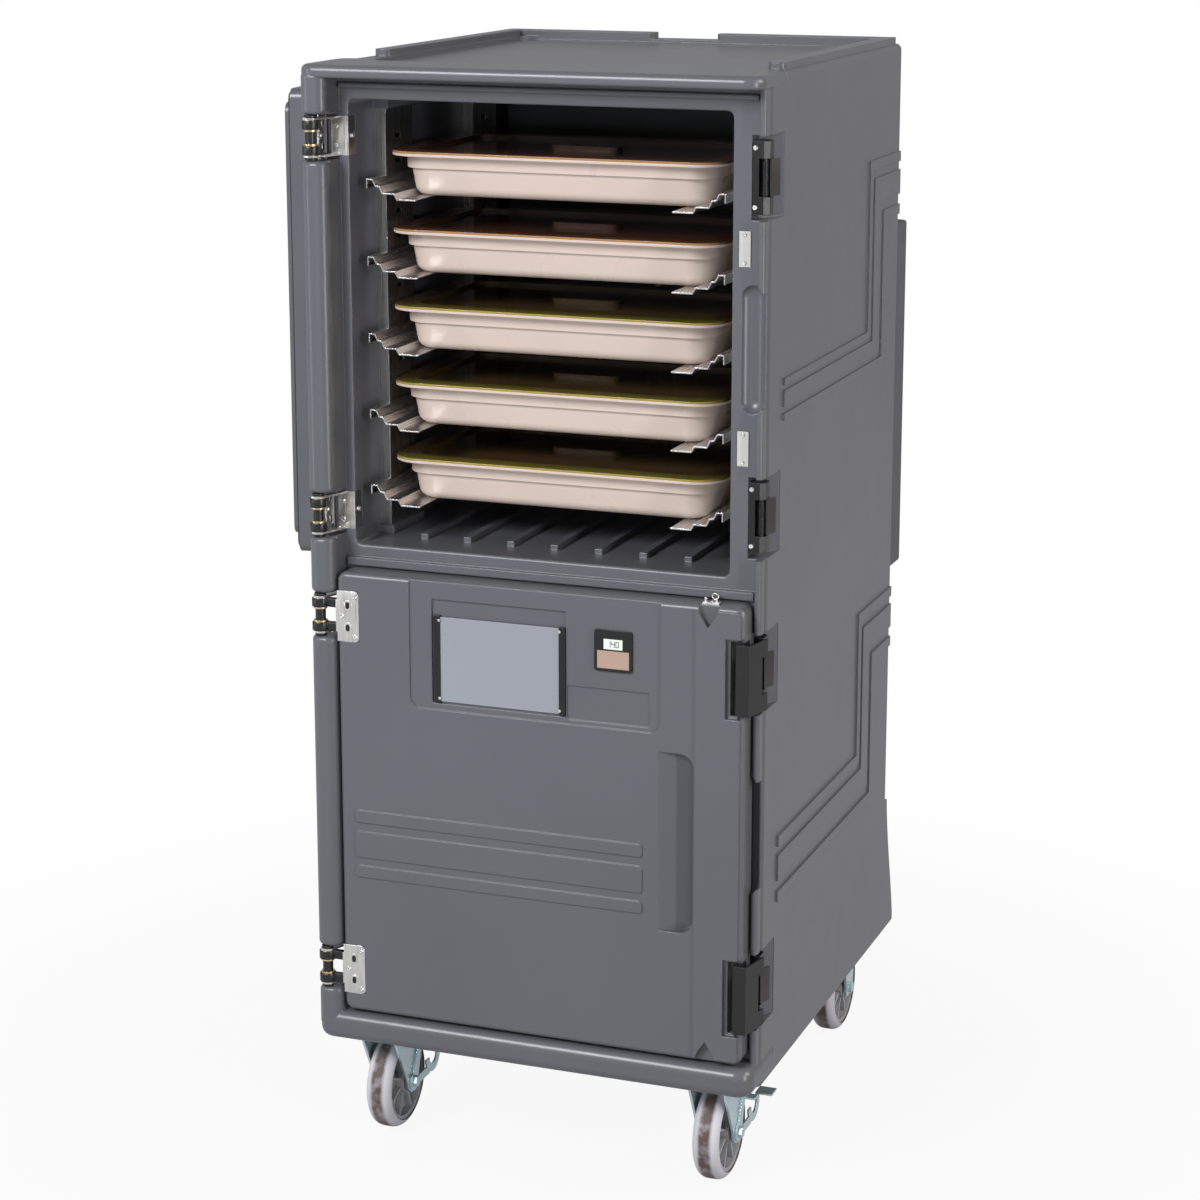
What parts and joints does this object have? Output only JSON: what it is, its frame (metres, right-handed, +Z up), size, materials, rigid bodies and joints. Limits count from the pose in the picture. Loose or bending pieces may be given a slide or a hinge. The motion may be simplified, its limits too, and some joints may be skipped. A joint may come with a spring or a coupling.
{
  "type": "heated food cart",
  "caption": "Insulated food holding cart on casters, with upper and lower doors on corner hinges, covered pans that slide on stepped rails and a fan heater on the back.",
  "frame": {"origin": "on the floor, under the middle of the whole cart with its upper door folded open", "axes": "+X to the right seen from the front, +Y to the back, +Z up"},
  "size_m": [0.8384, 0.854, 1.7],
  "materials": {
    "body_plastic": "moulded satin",
    "stainless": "brushed",
    "hinge_black": "satin",
    "latch_plastic": "satin",
    "heater_metal": "textured",
    "screen": "gloss",
    "card_plastic": "satin",
    "gasket_rubber": "matte",
    "pan_plastic": "satin",
    "lid_plastic": "gloss",
    "zinc_steel": "zinc plated",
    "wheel_plastic": "satin",
    "tread_rubber": "matte"
  },
  "bodies": {
    "cabinet": {"cabinet_body": "body_plastic", "uprights": "stainless", "rails_left": "stainless", "rails_right": "stainless", "hinge_brackets": "stainless", "hinge_pins": "hinge_black", "catches": "hinge_black", "strike_plates": "stainless", "mount_screws": "stainless", "heater_housing": "heater_metal", "control_display": "screen", "power_inlet": "hinge_black", "air_baffle": "stainless", "fan_motor": "hinge_black", "heating_element": "stainless", "caster_plates": "zinc_steel", "rear_forks": "zinc_steel", "rear_axles": "stainless"},
    "lower_door": {"lower_door_panel": "body_plastic", "lower_door_gasket": "gasket_rubber", "lower_door_leaves": "hinge_black", "card_panel": "card_plastic", "card_channels": "hinge_black", "thermometer_case": "hinge_black", "thermometer_display": "screen", "seal_clip": "stainless"},
    "upper_door": {"upper_door_panel": "body_plastic", "upper_door_gasket": "gasket_rubber", "upper_door_leaves": "hinge_black"},
    "power_switch": {"power_switch": "hinge_black"},
    "fan_wheel": {"fan_wheel": "stainless"},
    "lower_latch_bottom": {"lower_latch_bottom": "latch_plastic"},
    "lower_latch_top": {"lower_latch_top": "latch_plastic"},
    "upper_latch_bottom": {"upper_latch_bottom": "latch_plastic"},
    "upper_latch_top": {"upper_latch_top": "latch_plastic"},
    "pan_1": {"pan_1": "pan_plastic"},
    "lid_1": {"lid_1": "lid_plastic"},
    "pan_2": {"pan_2": "pan_plastic"},
    "lid_2": {"lid_2": "lid_plastic"},
    "pan_3": {"pan_3": "pan_plastic"},
    "lid_3": {"lid_3": "lid_plastic"},
    "pan_4": {"pan_4": "pan_plastic"},
    "lid_4": {"lid_4": "lid_plastic"},
    "pan_5": {"pan_5": "pan_plastic"},
    "lid_5": {"lid_5": "lid_plastic"},
    "front_fork_left": {"front_fork_left": "zinc_steel", "front_axle_left": "stainless"},
    "brake_pedal_left": {"brake_pedal_left": "zinc_steel"},
    "front_wheel_left": {"front_wheel_left": "wheel_plastic", "front_tread_left": "tread_rubber"},
    "rear_wheel_left": {"rear_wheel_left": "wheel_plastic", "rear_tread_left": "tread_rubber"},
    "front_fork_right": {"front_fork_right": "zinc_steel", "front_axle_right": "stainless"},
    "brake_pedal_right": {"brake_pedal_right": "zinc_steel"},
    "front_wheel_right": {"front_wheel_right": "wheel_plastic", "front_tread_right": "tread_rubber"},
    "rear_wheel_right": {"rear_wheel_right": "wheel_plastic", "rear_tread_right": "tread_rubber"}
  },
  "joints": [
    {"name": "lower_door_swing", "type": "hinge", "parent": "cabinet", "child": "lower_door", "pos_m": [-0.27732, -0.414, 0.58], "axis": [0, 0, -1], "range_deg": [0, 262]},
    {"name": "upper_door_swing", "type": "hinge", "parent": "cabinet", "child": "upper_door", "pos_m": [-0.27732, -0.414, 1.3], "axis": [0, 0, 1], "range_deg": [0, 262]},
    {"name": "lower_latch_bottom_turn", "type": "hinge", "parent": "lower_door", "child": "lower_latch_bottom", "pos_m": [0.38968, -0.411, 0.335], "axis": [0, 0, -1], "range_deg": [0, 50]},
    {"name": "lower_latch_top_turn", "type": "hinge", "parent": "lower_door", "child": "lower_latch_top", "pos_m": [0.38968, -0.411, 0.825], "axis": [0, 0, -1], "range_deg": [0, 50]},
    {"name": "upper_latch_bottom_turn", "type": "hinge", "parent": "upper_door", "child": "upper_latch_bottom", "pos_m": [-0.37312, 0.24609, 1.055], "axis": [0, 0, -1], "range_deg": [0, 50]},
    {"name": "upper_latch_top_turn", "type": "hinge", "parent": "upper_door", "child": "upper_latch_top", "pos_m": [-0.37312, 0.24609, 1.545], "axis": [0, 0, -1], "range_deg": [0, 50]},
    {"name": "pan_1_slide", "type": "slide", "parent": "cabinet", "child": "pan_1", "axis": [0, 1, 0], "range_m": [-0.26, 0]},
    {"name": "lid_1_lift", "type": "slide", "parent": "pan_1", "child": "lid_1", "axis": [0, 0, 1], "range_m": [0, 0.02]},
    {"name": "pan_2_slide", "type": "slide", "parent": "cabinet", "child": "pan_2", "axis": [0, 1, 0], "range_m": [-0.26, 0]},
    {"name": "lid_2_lift", "type": "slide", "parent": "pan_2", "child": "lid_2", "axis": [0, 0, 1], "range_m": [0, 0.02]},
    {"name": "pan_3_slide", "type": "slide", "parent": "cabinet", "child": "pan_3", "axis": [0, 1, 0], "range_m": [-0.26, 0]},
    {"name": "lid_3_lift", "type": "slide", "parent": "pan_3", "child": "lid_3", "axis": [0, 0, 1], "range_m": [0, 0.02]},
    {"name": "pan_4_slide", "type": "slide", "parent": "cabinet", "child": "pan_4", "axis": [0, 1, 0], "range_m": [-0.26, 0]},
    {"name": "lid_4_lift", "type": "slide", "parent": "pan_4", "child": "lid_4", "axis": [0, 0, 1], "range_m": [0, 0.02]},
    {"name": "pan_5_slide", "type": "slide", "parent": "cabinet", "child": "pan_5", "axis": [0, 1, 0], "range_m": [-0.26, 0]},
    {"name": "lid_5_lift", "type": "slide", "parent": "pan_5", "child": "lid_5", "axis": [0, 0, 1], "range_m": [0, 0.02]},
    {"name": "front_swivel_left", "type": "hinge", "parent": "cabinet", "child": "front_fork_left", "pos_m": [-0.21132, -0.348, 0.17], "axis": [0, 0, 1], "continuous": true},
    {"name": "brake_left", "type": "hinge", "parent": "front_fork_left", "child": "brake_pedal_left", "pos_m": [-0.21132, -0.312, 0.076], "axis": [-1, 0, 0], "range_deg": [0, 30]},
    {"name": "front_wheel_left_spin", "type": "hinge", "parent": "front_fork_left", "child": "front_wheel_left", "pos_m": [-0.21132, -0.312, 0.076], "axis": [1, 0, 0], "continuous": true},
    {"name": "rear_wheel_left_spin", "type": "hinge", "parent": "cabinet", "child": "rear_wheel_left", "pos_m": [-0.21132, 0.316, 0.076], "axis": [1, 0, 0], "continuous": true},
    {"name": "front_swivel_right", "type": "hinge", "parent": "cabinet", "child": "front_fork_right", "pos_m": [0.33268, -0.348, 0.17], "axis": [0, 0, 1], "continuous": true},
    {"name": "brake_right", "type": "hinge", "parent": "front_fork_right", "child": "brake_pedal_right", "pos_m": [0.33268, -0.312, 0.076], "axis": [-1, 0, 0], "range_deg": [0, 30]},
    {"name": "front_wheel_right_spin", "type": "hinge", "parent": "front_fork_right", "child": "front_wheel_right", "pos_m": [0.33268, -0.312, 0.076], "axis": [1, 0, 0], "continuous": true},
    {"name": "rear_wheel_right_spin", "type": "hinge", "parent": "cabinet", "child": "rear_wheel_right", "pos_m": [0.33268, 0.316, 0.076], "axis": [1, 0, 0], "continuous": true},
    {"name": "switch_rock", "type": "hinge", "parent": "cabinet", "child": "power_switch", "pos_m": [0.21068, 0.415, 1.018], "axis": [1, 0, 0], "range_deg": [0, 12]},
    {"name": "fan_spin", "type": "hinge", "parent": "cabinet", "child": "fan_wheel", "pos_m": [0.06068, 0.261, 1.3], "axis": [0, 1, 0], "continuous": true}
  ]
}
